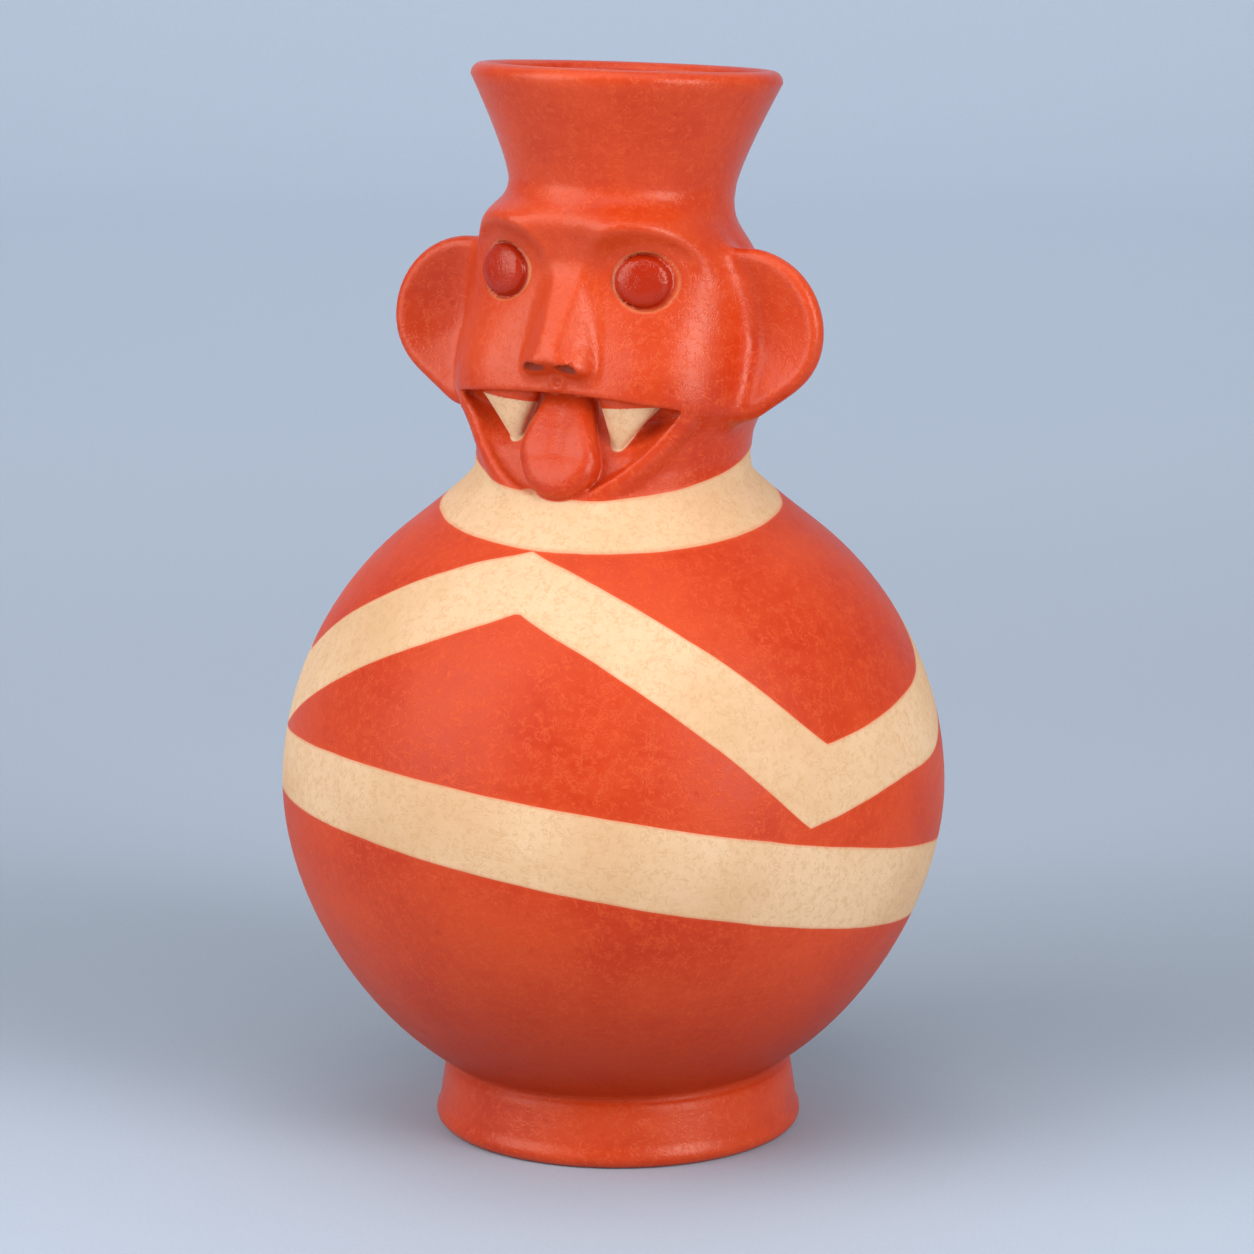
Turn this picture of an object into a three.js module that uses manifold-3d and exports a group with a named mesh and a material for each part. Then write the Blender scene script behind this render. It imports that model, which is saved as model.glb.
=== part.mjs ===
// Pottery jug: a round body on a flared foot ring, its neck modelled as a fanged head with a
// flared spout on top. All of it is one fired clay body, hollow and open at the spout.
// Millimetres, +Z up. The face looks along -Y and the origin is under the body's axis.

import * as THREE from 'three';
import { ConvexGeometry } from 'three/addons/geometries/ConvexGeometry.js';
import { mergeVertices } from 'three/addons/utils/BufferGeometryUtils.js';
import Module from 'manifold-3d';

const wasm = await Module();
wasm.setup();

// Body and wall
const bodyRadius = 89.5;
const bodyLift = 4.8; // from the table to the lowest point of the body's sphere
const lowerSlimming = 2.4; // how far the lower half lies inside the sphere
const slimmestShare = 0.67; // where that is most, as a share of the radius below the centre
const bodyWall = 5.5;
const shoulderRadius = 55.4; // where the shoulder leaves the sphere for the neck

// Foot ring
const footSink = 0.87; // how far the ring's top lies below the skin of the body that it meets
const footTopRadius = 46.9;
const footWidestRadius = 49.6;
const footEdgeRounding = 2.5;
const footBaseWidth = 7; // flat ring that the jug stands on
const footHollowHeight = 5.5;
const footShift = new THREE.Vector2(1.1, 0.56); // the ring sits a little off the body's axis

// Neck and spout
const neckRadius = 37;
const neckRise = 4.2; // from the sphere's top to the foot of the head
const neckWall = 6;
const leanAngle = THREE.MathUtils.degToRad(5.6); // head and spout lean back
const leanBlend = 12; // height over which the lean sets in, each side of the neck
const waistRadius = 30.2;
const waistWall = 5.5;
const spoutHeight = 31.1;
const spoutRimRadius = 41.5;
const spoutRimThickness = 6.4;
const spoutCurve = new THREE.Vector2(0.07, 0.24); // how the flare starts, as shares of its reach
const spoutShift = new THREE.Vector2(-0.6, -0.3); // the spout sits a little off the head's axis
const spoutTilt = new THREE.Vector2(0.019, -0.014); // rise of its rim to one side and to the back

// Head: its height, and all its carving as shares of that height
const headHeight = 69;
const hh = (share) => share * headHeight;
// height, half width, front, back and squareness of the head's outline, from jaw to crown
const headStations = [
  [0.06, 0.54, 0.535, 0.54, 2.1],
  [0.12, 0.56, 0.515, 0.545, 2.4],
  [0.185, 0.597, 0.5, 0.552, 2.8],
  [0.29, 0.608, 0.49, 0.558, 2.7],
  [0.46, 0.595, 0.464, 0.556, 2.6],
  [0.66, 0.58, 0.45, 0.54, 2.6],
  [0.79, 0.512, 0.468, 0.46, 2.9],
  [0.88, 0.45, 0.48, 0.435, 3],
  [0.945, 0.435, 0.455, 0.43, 2.2],
];
const eye = { out: 0.298, up: 0.665, turn: 0.28, sink: 0.036, ring: [0.124, 0.112], ball: [0.108, 0.098] };
const eyeHollow = { depth: 0.05, out: 0.298, up: 0.69, width: 0.18, height: 0.14 };
const brow = { lift: 0.034, out: 0.23, up: 0.86, width: 0.21, height: 0.075 };
const ear = { out: 0.58, up: 0.45, front: 0.105, radius: 0.32, rim: 0.048, dish: 0.075, back: 0.12 };
const earOutline = { swell: 0.06, cut: 0.07, tail: 0.08 }; // fuller above, drawn in below, long at the jaw
const earTilt = 0.021; // one ear is set this much higher, the other this much lower
const mouth = { corner: 0.482, cornerUp: 0.187, lipUp: 0.222, low: -0.123, depth: 0.125 };
const lowerLip = { radius: 0.044, drop: 0.026 };
const tongueShift = 0.034; // the tongue hangs a little towards its own left
const tongueHalfWidth = 0.168;

// Faceting
const skinColumns = 40;
const hollowColumns = 24;
const sliverWidth = 0.02;
const frontCrowding = 0.4; // columns stand closer together on the face than behind it

const bodyCentre = bodyLift + bodyRadius;
const headBase = bodyCentre + bodyRadius + neckRise;
const cavityRadius = bodyRadius - bodyWall;
const footHeight = bodyCentre - Math.sqrt(bodyRadius ** 2 - footTopRadius ** 2) - footSink;

const smooth = (value, from, to) => THREE.MathUtils.smoothstep(value, from, to);
const bump = (u, v) => Math.exp(-u * u - v * v);

// A closed geometry as a solid for joining and cutting. A mould that mirrors a form turns its
// faces inwards, so those are turned round again.
function solid(geometry) {
  const bare = geometry.clone();
  bare.deleteAttribute('normal');
  bare.deleteAttribute('uv');
  const merged = mergeVertices(bare, 1e-4);
  const vertProperties = new Float32Array(merged.attributes.position.array);
  const triVerts = new Uint32Array(merged.index.array);
  const made = new wasm.Manifold(new wasm.Mesh({ numProp: 3, vertProperties, triVerts }));
  if (made.volume() > 0) return made;
  return new wasm.Manifold(new wasm.Mesh({ numProp: 3, vertProperties, triVerts: triVerts.reverse() }));
}

// A solid's surface as a geometry, without the slivers that the cuts leave
function geometryOf(manifold) {
  const mesh = manifold.getMesh();
  const raw = new THREE.BufferGeometry();
  raw.setAttribute('position', new THREE.BufferAttribute(mesh.vertProperties, 3));
  raw.setIndex(new THREE.BufferAttribute(mesh.triVerts, 1));
  const geometry = mergeVertices(raw, sliverWidth);
  const corners = geometry.index.array;
  const kept = [];
  for (let i = 0; i < corners.length; i += 3) {
    const [a, b, c] = corners.slice(i, i + 3);
    if (a !== b && b !== c && c !== a) kept.push(a, b, c);
  }
  geometry.setIndex(kept);
  geometry.computeVertexNormals();
  return geometry;
}

// Moves every vertex of a geometry by a function that changes the point it is given
function mould(geometry, move) {
  const position = geometry.attributes.position;
  const point = new THREE.Vector3();
  for (let i = 0; i < position.count; i += 1) {
    point.fromBufferAttribute(position, i);
    move(point, i);
    position.setXYZ(i, point.x, point.y, point.z);
  }
  return geometry;
}

// The lean turns a point about the foot of the head, and sets in over a short height
function lean(point, share) {
  const turn = -leanAngle * share;
  point.z -= headBase;
  point.applyAxisAngle(new THREE.Vector3(1, 0, 0), turn);
  point.z += headBase;
}

const leanShare = (height) => smooth(height, headBase - leanBlend, headBase + leanBlend);

// Carving is made in the head's own frame, x to its left, -y forward, z up from its foot
function onHead(geometry) {
  return mould(geometry, (point) => {
    point.z += headBase;
    lean(point, 1);
  });
}

// Smooth values between the head's stations, from the round neck to the round waist
function headOutline(height) {
  const rows = [
    [-0.1, neckRadius, neckRadius, neckRadius, 2],
    [-0.02, neckRadius, neckRadius, neckRadius, 2],
    ...headStations.map(([up, side, front, back, square]) => [up, hh(side), hh(front), hh(back), square]),
    [1, waistRadius, waistRadius, waistRadius, 2],
    [1.08, waistRadius, waistRadius, waistRadius, 2],
  ];
  const share = THREE.MathUtils.clamp(height / headHeight, rows[1][0], 1);
  let i = 1;
  while (i < rows.length - 3 && share > rows[i + 1][0]) i += 1;
  const span = rows[i + 1][0] - rows[i][0];
  const t = (share - rows[i][0]) / span;
  return [1, 2, 3, 4].map((k) => {
    const before = (rows[i + 1][k] - rows[i - 1][k]) / (rows[i + 1][0] - rows[i - 1][0]);
    const after = (rows[i + 2][k] - rows[i][k]) / (rows[i + 2][0] - rows[i][0]);
    const a = rows[i][k];
    const b = rows[i + 1][k];
    const rise = (3 - 2 * t) * t * t;
    return a + (b - a) * rise + span * (before * t * (1 - t) * (1 - t) - after * t * t * (1 - t));
  });
}

// Distance of the head's surface from its axis, at an angle from the face
function headRadius(height, angle, inset = 0) {
  const [side, front, back, square] = headOutline(height);
  const across = Math.abs(Math.sin(angle)) / (side - inset);
  const along = Math.abs(Math.cos(angle));
  if (Math.cos(angle) < 0) return 1 / Math.hypot(across, along / (back - inset));
  return (across ** square + (along / (front - inset)) ** square) ** (-1 / square);
}

// Hollows round the eyes and the swell of the brow, as a push out from the axis
function headRelief(height, angle) {
  if (Math.cos(angle) < 0) return 0;
  const out = Math.abs(headRadius(height, angle) * Math.sin(angle)) / headHeight;
  const up = height / headHeight;
  const hollow = bump((out - eyeHollow.out) / eyeHollow.width, (up - eyeHollow.up) / eyeHollow.height);
  const swell = bump((out - brow.out) / brow.width, (up - brow.up) / brow.height);
  return hh(brow.lift * swell - eyeHollow.depth * hollow);
}

// Turns rows of radius and height into a closed solid of revolution, then shapes each row
function turned(rows, columns, shape) {
  const profile = rows.map(([radius, height]) => new THREE.Vector2(radius, height));
  const geometry = new THREE.LatheGeometry(profile, columns);
  geometry.rotateX(Math.PI / 2);
  const position = geometry.attributes.position;
  for (let column = 0; column <= columns; column += 1) {
    const around = (2 * Math.PI * (column % columns)) / columns;
    rows.forEach(([radius, height], row) => {
      const crowd = frontCrowding * smooth(height, headBase - 3 * leanBlend, headBase);
      const angle = around - crowd * Math.sin(around);
      const reach = shape(radius, height, angle);
      const point = new THREE.Vector3(reach * Math.sin(angle), -reach * Math.cos(angle), height);
      const aside = smooth(height, headBase + hh(0.7), headBase + headHeight);
      point.z += (spoutTilt.x * point.x + spoutTilt.y * point.y) * smooth(height, waistHeight, rimHeight);
      point.x += spoutShift.x * aside;
      point.y += spoutShift.y * aside;
      lean(point, leanShare(height));
      position.setXYZ(column * rows.length + row, point.x, point.y, point.z);
    });
  }
  return solid(geometry);
}

const slimming = (depth) => {
  const share = THREE.MathUtils.clamp(depth / (slimmestShare * bodyRadius), 0, 1);
  return lowerSlimming * Math.sin((share * Math.PI) / 2) ** 1.5;
};

// Rows over a sphere from one radius low down to another near the top, as many below its equator
// as above it, with one row on the equator
function sphereRows(radius, fromRadius, toRadius, count) {
  const start = Math.asin(fromRadius / radius);
  const end = Math.PI - Math.asin(toRadius / radius);
  return Array.from({ length: 2 * count + 1 }, (_, i) => {
    const share = i / count - 1;
    const turn = Math.PI / 2 + share * (share < 0 ? Math.PI / 2 - start : end - Math.PI / 2);
    const depth = radius * Math.cos(turn);
    const slim = fromRadius > 0 ? slimming(depth) : slimming(depth) * Math.sin(turn);
    return [radius * Math.sin(turn) - slim, bodyCentre - depth];
  });
}

// The concave shoulder between the body and a neck of some radius
function shoulderRows(radius, leaveRadius, neck, count) {
  const leaveHeight = bodyCentre + Math.sqrt(radius * radius - leaveRadius * leaveRadius);
  const slope = leaveRadius / (leaveHeight - bodyCentre);
  const corner = new THREE.Vector2(neck, leaveHeight + slope * (leaveRadius - neck));
  const top = new THREE.Vector2(neck, Math.max(headBase - 1.5 * neckRise, corner.y + 1));
  const curve = new THREE.QuadraticBezierCurve(new THREE.Vector2(leaveRadius, leaveHeight), corner, top);
  return curve.getPoints(count).slice(1).map((point) => [point.x, point.y]);
}

// The flare of the spout, outside or inside
function spoutRows(waist, rim, lowHeight, highHeight, count) {
  const reach = rim - waist;
  const rise = highHeight - lowHeight;
  const bend = new THREE.Vector2(waist + spoutCurve.x * reach, lowHeight + spoutCurve.y * rise);
  const low = new THREE.Vector2(waist, lowHeight);
  const curve = new THREE.QuadraticBezierCurve(low, bend, new THREE.Vector2(rim, highHeight));
  return curve.getPoints(count).map((point) => [point.x, point.y]);
}

const waistHeight = headBase + headHeight;
const rimHeight = waistHeight + spoutHeight;
const rimRound = spoutRimThickness / 2;
const rimFlat = 0.35; // half the narrow crest between the rim's two rounded edges

function rimArc(side, crest) {
  return [1, 2].map((step) => {
    const turn = (step * Math.PI) / 4;
    const reach = side * (rimRound - (rimRound - rimFlat) * (1 - Math.cos(turn)));
    return [spoutRimRadius - rimRound + reach, crest - rimRound + rimRound * Math.sin(turn)];
  });
}

// Outer skin, closed across the spout's mouth
function outerSkin() {
  const headRows = Array.from({ length: 19 }, (_, i) => {
    const up = (headHeight * (i + 0.3)) / 19.3;
    return [neckRadius, headBase + up];
  });
  const rows = [
    [0, footHeight],
    ...sphereRows(bodyRadius, footTopRadius, shoulderRadius, 7),
    ...shoulderRows(bodyRadius, shoulderRadius, neckRadius, 5),
    ...headRows,
    ...spoutRows(waistRadius, spoutRimRadius, waistHeight, rimHeight - rimRound, 6),
    ...rimArc(1, rimHeight),
    [0, rimHeight],
  ];
  return turned(rows, skinColumns, (radius, height, angle) => {
    const up = height - headBase;
    if (radius === 0 || up < 0 || up >= headHeight) return radius;
    return headRadius(up, angle) + headRelief(up, angle);
  });
}

// Everything inside the walls, from the body's floor up through the neck and out of the spout
const cavityNeck = neckRadius - neckWall;
const cavityWaist = waistRadius - waistWall;
const mouthFront = headOutline(hh(mouth.cornerUp))[1];
const cavityFront = mouthFront - hh(mouth.depth) - waistWall;
const cavityWidest = 0.475; // half the hollow's width in the head, as a share of the head's height

function cavity() {
  const leaveRadius = shoulderRadius - bodyWall;
  const neckRows = Array.from({ length: 5 }, (_, i) => {
    const up = (headHeight * (i + 0.5)) / 5.5;
    return [cavityNeck, headBase + up];
  });
  const rows = [
    ...sphereRows(cavityRadius, 0, leaveRadius, 4),
    ...shoulderRows(cavityRadius, leaveRadius, cavityNeck, 3),
    ...neckRows,
    ...spoutRows(cavityWaist, spoutRimRadius - spoutRimThickness, waistHeight, rimHeight - rimRound, 3),
    ...rimArc(-1, rimHeight),
    [spoutRimRadius - rimRound - rimFlat, rimHeight + 3],
    [0, rimHeight + 3],
  ];
  return turned(rows, skinColumns, (radius, height, angle) => {
    const up = height - headBase;
    if (up >= headHeight || radius === 0) return radius;
    const [sideSkin, , backSkin] = headOutline(up);
    const head = smooth(up, 0, hh(0.2));
    const side = THREE.MathUtils.lerp(radius, Math.min(sideSkin - waistWall, hh(cavityWidest)), head);
    const back = THREE.MathUtils.lerp(radius, Math.min(backSkin - waistWall, hh(cavityWidest)), head);
    const drawnIn = smooth(up, -hh(0.32), -hh(0.14)) * (1 - smooth(up, hh(0.75), headHeight));
    const front = THREE.MathUtils.lerp(side, cavityFront, drawnIn);
    return Math.hypot(side * Math.sin(angle), (Math.cos(angle) > 0 ? front : back) * Math.cos(angle));
  });
}

// Foot ring: a flared band round the lowest part of the body, hollow underneath
function footRing() {
  const rows = [
    [0, 0],
    [footWidestRadius - footEdgeRounding / 2, 0],
    [footWidestRadius - footEdgeRounding / 6, footEdgeRounding * 0.4],
    [footWidestRadius, footEdgeRounding],
    [footWidestRadius - 0.3 * (footWidestRadius - footTopRadius), footHeight * 0.4],
    [footWidestRadius - 0.72 * (footWidestRadius - footTopRadius), footHeight * 0.72],
    [footTopRadius, footHeight - 0.8],
    [footTopRadius - 1.2, footHeight + 1],
    [0, footHeight + 1],
  ];
  const ring = turned(rows, skinColumns, (radius) => radius);
  return ring.translate(footShift.x, footShift.y, 0);
}

function footHollow() {
  const radius = footWidestRadius - footEdgeRounding / 2 - footBaseWidth;
  const rows = [[0, -2], [radius, -2], [radius, 0], [radius - 2.5, footHollowHeight], [0, footHollowHeight]];
  return turned(rows, hollowColumns, (reach) => reach).translate(footShift.x, footShift.y, 0);
}

// Ears: upright dished plates with a thick rounded rim, facing forward
function earPlate(side) {
  const geometry = new THREE.SphereGeometry(1, 20, 11);
  mould(geometry, (point) => {
    const around = Math.atan2(point.z, point.x);
    const reach = Math.min(1, Math.hypot(point.x, point.z));
    const { swell, cut, tail } = earOutline;
    const fuller = swell * Math.cos(around - 0.52) - cut * Math.exp(-(((around + 0.9) / 0.49) ** 2));
    const outline = ear.radius * (1 + fuller + tail * Math.exp(-(((around + 1.5) / 0.3) ** 2)));
    const radius = outline * Math.sin((reach * Math.PI) / 2) ** 0.8;
    const middle = 1 - reach ** 2;
    const edge = Math.sqrt(Math.max(0, 1 - reach ** 6)) * ear.rim;
    const forward = point.y > 0 ? edge - ear.dish * middle : -edge - ear.back * middle;
    const out = ear.out + radius * Math.cos(around);
    const up = ear.up + radius * Math.sin(around) + side * earTilt;
    point.set(side * hh(out), -hh(ear.front + forward), hh(up));
  });
  return solid(onHead(geometry));
}

const faceFront = (height, out) => {
  const [side, front, , square] = headOutline(height);
  return front * (1 - Math.min(0.99, Math.abs(out) / side) ** square) ** (1 / square);
};

// An eyeball or the sunk ring round it: a flattened ball that faces a little outwards
function eyeForm(side, [halfWidth, halfHeight], depth, behind) {
  const geometry = new THREE.SphereGeometry(1, 16, 8);
  geometry.scale(hh(halfWidth), hh(depth), hh(halfHeight));
  geometry.rotateZ(side * eye.turn);
  const front = faceFront(hh(eye.up), hh(eye.out)) - hh(eye.sink + behind);
  geometry.translate(side * hh(eye.out), -front, hh(eye.up));
  return solid(onHead(geometry));
}

// Nose: a wedge with a flat ridge, widest at its wings
function nose() {
  const corners = [
    [0.06, 0.4, 0.8],
    [0.068, 0.448, 0.685],
    [0.043, 0.612, 0.385],
    [0.045, 0.6, 0.35],
    [0.04, 0.56, 0.315],
    [0.13, 0.4, 0.66],
    [0.168, 0.5, 0.36],
    [0.16, 0.46, 0.29],
    [0.168, 0.42, 0.33],
    [0.1, 0.4, 0.285],
  ];
  const points = corners.flatMap(([out, front, up]) => [-1, 1].map(
    (side) => new THREE.Vector3(side * hh(out), -hh(front), hh(up)),
  ));
  return solid(onHead(new ConvexGeometry(points)));
}

function nostril(side) {
  const geometry = new THREE.SphereGeometry(hh(0.027), 10, 8);
  geometry.translate(side * hh(0.075), -hh(0.545), hh(0.3));
  return solid(onHead(geometry));
}

const smileHeight = (out) => mouth.low + (mouth.cornerUp - mouth.low) * (out / mouth.corner) ** 2;

// The open mouth: a smile-shaped prism, cut back to a floor that follows the face
function mouthRecess() {
  const shape = new THREE.Shape();
  shape.moveTo(hh(mouth.corner), hh(mouth.cornerUp));
  shape.quadraticCurveTo(0, hh(2 * mouth.lipUp - mouth.cornerUp), -hh(mouth.corner), hh(mouth.cornerUp));
  shape.quadraticCurveTo(0, hh(2 * mouth.low - mouth.cornerUp), hh(mouth.corner), hh(mouth.cornerUp));
  const reachForward = { depth: headHeight, bevelEnabled: false, curveSegments: 14 };
  const prism = new THREE.ExtrudeGeometry(shape, reachForward);
  prism.rotateX(Math.PI / 2);
  const rows = [[0, -0.4], ...[-0.4, -0.2, 0, 0.06, 0.12, 0.2, 0.3, 0.4].map((up) => [1, up]), [0, 0.4]];
  const core = new THREE.LatheGeometry(rows.map(([x, y]) => new THREE.Vector2(x, y)), skinColumns);
  core.rotateX(Math.PI / 2);
  mould(core, (point) => {
    const angle = Math.atan2(point.x, -point.y);
    const out = (headRadius(hh(point.z), angle) * Math.sin(angle)) / headHeight;
    const low = smileHeight(THREE.MathUtils.clamp(out, -mouth.corner, mouth.corner));
    const rise = (point.z - low) / Math.max(mouth.lipUp - low, 0.05);
    const deep = mouth.depth * (0.5 + 0.5 * smooth(rise, 0, 0.6));
    const reach = Math.hypot(point.x, point.y) * headRadius(hh(point.z), angle, hh(deep));
    point.set(reach * Math.sin(angle), -reach * Math.cos(angle), hh(point.z));
  });
  return solid(onHead(prism)).subtract(solid(onHead(core)));
}

function lowerLipBead() {
  const path = Array.from({ length: 15 }, (_, i) => {
    const share = i / 7 - 1;
    const out = (mouth.corner - lowerLip.radius) * share;
    const up = smileHeight(out) - lowerLip.drop;
    const front = faceFront(hh(up), hh(out)) - hh(lowerLip.radius) * (0.5 + 0.4 * share ** 6);
    return new THREE.Vector3(hh(out), -front, hh(up));
  });
  const section = new THREE.Shape().absarc(0, 0, hh(lowerLip.radius), 0, 2 * Math.PI);
  const extrudePath = new THREE.CatmullRomCurve3(path);
  const bead = new THREE.ExtrudeGeometry(section, { steps: 20, curveSegments: 4, extrudePath });
  return solid(onHead(bead));
}

// Tongue: a thick slab that comes out of the mouth, lies over the lower lip and hangs down
function tongue() {
  const side = new THREE.Shape();
  side.moveTo(0.36, 0.2);
  side.quadraticCurveTo(0.47, 0.14, 0.545, 0.0);
  side.quadraticCurveTo(0.59, -0.03, 0.6, -0.08);
  side.quadraticCurveTo(0.615, -0.14, 0.56, -0.145);
  side.lineTo(0.45, -0.16);
  side.lineTo(0.4, -0.1);
  side.lineTo(0.33, 0.0);
  side.closePath();
  const bevel = 0.045;
  const depth = 2 * (tongueHalfWidth - bevel);
  const slab = new THREE.ExtrudeGeometry(side, {
    depth, curveSegments: 4, bevelThickness: bevel, bevelSize: 0.02, bevelOffset: -0.02, bevelSegments: 3,
  });
  mould(slab, (point) => {
    const [front, up] = [point.x, point.y];
    const root = 1 - 0.3 * smooth(up, -0.02, 0.18);
    const tip = Math.sqrt(1 - 0.75 * smooth(-up, 0.03, 0.14) ** 2);
    const out = (point.z - depth / 2) * root * tip + tongueShift * smooth(-up, -0.15, 0.05);
    point.set(hh(out), -hh(front), hh(up));
  });
  return solid(onHead(slab));
}

// Fangs: two flattened cones that hang from the upper lip, their points nearer the tongue and
// their backs sunk in the floor of the mouth
function fang(side) {
  const [top, tip] = [0.21, 0.004];
  const cone = new THREE.ConeGeometry(0.125, top - tip, 14, 1);
  cone.rotateX(-Math.PI / 2);
  mould(cone, (point) => {
    const up = point.z + (top + tip) / 2;
    const out = side * (0.21 + 0.22 * (up - tip)) + point.x;
    const thick = point.y < 0 ? 0.5 : 1.3;
    point.set(hh(out), hh(point.y * thick - 0.395), hh(up));
  });
  return solid(onHead(cone));
}

let jug = outerSkin().add(footRing());
for (const side of [-1, 1]) {
  jug = jug.add(earPlate(side));
  jug = jug.subtract(eyeForm(side, eye.ring, 0.03, 0));
  jug = jug.add(eyeForm(side, eye.ball, 0.045, 0.014));
}
jug = jug.add(nose());
jug = jug.add(lowerLipBead()).subtract(mouthRecess());
for (const side of [-1, 1]) {
  jug = jug.subtract(nostril(side)).add(fang(side));
}
jug = jug.add(tongue()).subtract(cavity()).subtract(footHollow());

const clay = new THREE.MeshStandardMaterial({ color: 0xc8502d, roughness: 0.4, metalness: 0 });
const jugMesh = new THREE.Mesh(geometryOf(jug), clay);
jugMesh.name = 'jug';

const part = new THREE.Group();
part.add(jugMesh);

export default part;
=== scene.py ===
import math
import bpy
import numpy as np
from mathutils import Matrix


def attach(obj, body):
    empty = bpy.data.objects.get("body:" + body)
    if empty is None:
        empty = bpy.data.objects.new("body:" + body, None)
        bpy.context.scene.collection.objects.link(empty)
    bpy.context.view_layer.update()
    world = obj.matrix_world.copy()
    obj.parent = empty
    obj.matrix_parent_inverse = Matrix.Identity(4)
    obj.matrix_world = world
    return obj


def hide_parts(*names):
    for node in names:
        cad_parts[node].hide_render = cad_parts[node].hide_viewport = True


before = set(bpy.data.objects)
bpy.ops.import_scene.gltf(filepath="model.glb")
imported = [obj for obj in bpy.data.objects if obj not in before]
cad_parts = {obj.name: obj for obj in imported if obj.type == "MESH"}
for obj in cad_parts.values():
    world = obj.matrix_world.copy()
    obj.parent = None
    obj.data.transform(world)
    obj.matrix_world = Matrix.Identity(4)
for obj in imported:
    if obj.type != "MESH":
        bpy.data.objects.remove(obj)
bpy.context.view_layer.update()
print("frame loaded")

mm = 0.001  # everything below is worked out in millimetres and placed in metres

# The vessel's own sizes, the same as the solid's
vessel = {
    "bodyRadius": 89.45, "solidRadius": 89.5, "bodyLift": 4.8, "slimming": 2.4, "slimmestShare": 0.67,
    "wall": 5.5, "shoulderRadius": 55.4, "neckRadius": 37.0, "neckRise": 4.2, "neckWall": 6.0,
    "waistRadius": 30.2, "waistWall": 5.5, "spoutHeight": 31.1, "rimRadius": 41.45, "rimThickness": 6.4,
    "spoutShift": (-0.6, -0.3), "spoutTilt": (0.019, -0.014),
    "flareStart": (0.07, 0.24), "lean": math.radians(5.6), "leanBlend": 12.0, "headHeight": 69.0,
}
foot = {
    "height": 17.2, "topRadius": 46.9, "widestRadius": 49.6, "edge": 2.5, "baseWidth": 7.0,
    "hollow": 5.5, "shift": (1.1, 0.56),
}
# the head is cut out of a lattice of columns, rings and levels; crowding moves columns to the face
meshing = {
    "columns": 304, "crowding": 0.42, "headLow": -19.0, "headHigh": 76.0, "step": 0.9,
    "reachIn": 14.0, "reachOut": 33.0, "bodyRow": 3.4,
}

bodyCentre = vessel["bodyLift"] + vessel["bodyRadius"]
headBase = bodyCentre + vessel["solidRadius"] + vessel["neckRise"]
waistHeight = headBase + vessel["headHeight"]
rimHeight = waistHeight + vessel["spoutHeight"]


def smoothStep(value, low, high):
    t = np.clip((np.asarray(value, float) - low) / (high - low), 0, 1)
    return t * t * (3 - 2 * t)


def bump(u, v):
    return np.exp(-u * u - v * v)


def softMin(a, b, k):
    t = np.clip(0.5 + 0.5 * (b - a) / k, 0, 1)
    return b + (a - b) * t - k * t * (1 - t)


def softMax(a, b, k):
    return -softMin(-a, -b, k)


# Profile of the turned parts

def slimming(depth):
    share = np.clip(depth / (vessel["slimmestShare"] * vessel["bodyRadius"]), 0, 1)
    return vessel["slimming"] * np.sin(share * math.pi / 2) ** 1.5


def sphereRows(radius, fromRadius, toRadius):
    start = math.asin(fromRadius / radius)
    end = math.pi - math.asin(toRadius / radius)
    count = max(4, round((end - start) * radius / meshing["bodyRow"]))
    turn = np.linspace(start, end, count + 1)
    depth = radius * np.cos(turn)
    slim = slimming(depth) * (np.sin(turn) if fromRadius == 0 else 1)
    return list(zip(radius * np.sin(turn) - slim, bodyCentre - depth))


def bezier(a, b, c, count):
    a, b, c = np.array(a), np.array(b), np.array(c)
    t = np.linspace(0, 1, count + 1)
    return [tuple((1 - s) ** 2 * a + 2 * s * (1 - s) * b + s * s * c) for s in t]


def shoulderRows(radius, leave, neck, count):
    leaveHeight = bodyCentre + math.sqrt(radius ** 2 - leave ** 2)
    slope = leave / (leaveHeight - bodyCentre)
    corner = (neck, leaveHeight + slope * (leave - neck))
    return bezier((leave, leaveHeight), corner, (neck, headBase - 1.5 * vessel["neckRise"]), count)[1:]


def spoutRows(waist, rim, low, high, count):
    bend = (waist + vessel["flareStart"][0] * (rim - waist), low + vessel["flareStart"][1] * (high - low))
    return bezier((waist, low), bend, (rim, high), count)


# Head: outline stations as shares of its height, from jaw to crown. Its forms are measures of
# distance, above zero outside; factors just under one keep each close to a true distance.
# height, half width, front, back, squareness
headStations = [
    (-0.1, None, None, None, 2), (-0.02, None, None, None, 2),
    (0.06, 0.54, 0.535, 0.54, 2.1), (0.12, 0.56, 0.515, 0.545, 2.4), (0.185, 0.597, 0.5, 0.552, 2.8),
    (0.29, 0.608, 0.49, 0.558, 2.7), (0.46, 0.595, 0.464, 0.556, 2.6), (0.66, 0.58, 0.45, 0.54, 2.6),
    (0.79, 0.512, 0.468, 0.46, 2.9), (0.88, 0.45, 0.48, 0.435, 3.0), (0.945, 0.435, 0.455, 0.43, 2.2),
    (1, None, None, None, 2), (1.08, None, None, None, 2),
]
carving = {
    "eyeHollow": (0.298, 0.69, 0.18, 0.14, -0.05),  # out, up, width, height, push
    "brow": (0.23, 0.86, 0.21, 0.075, 0.034),
    "cheek": (0.39, 0.33, 0.15, 0.13, 0.02),
    "temple": (0.5, 0.56, 0.12, 0.16, -0.01),
}
philtrum = {"up": 18.3, "radius": 1.8, "width": 0.75, "lift": 0.85}
browArch = {"radius": 0.208, "width": 0.042, "lift": 0.017, "furrow": 0.163, "cut": 0.01}
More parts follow.
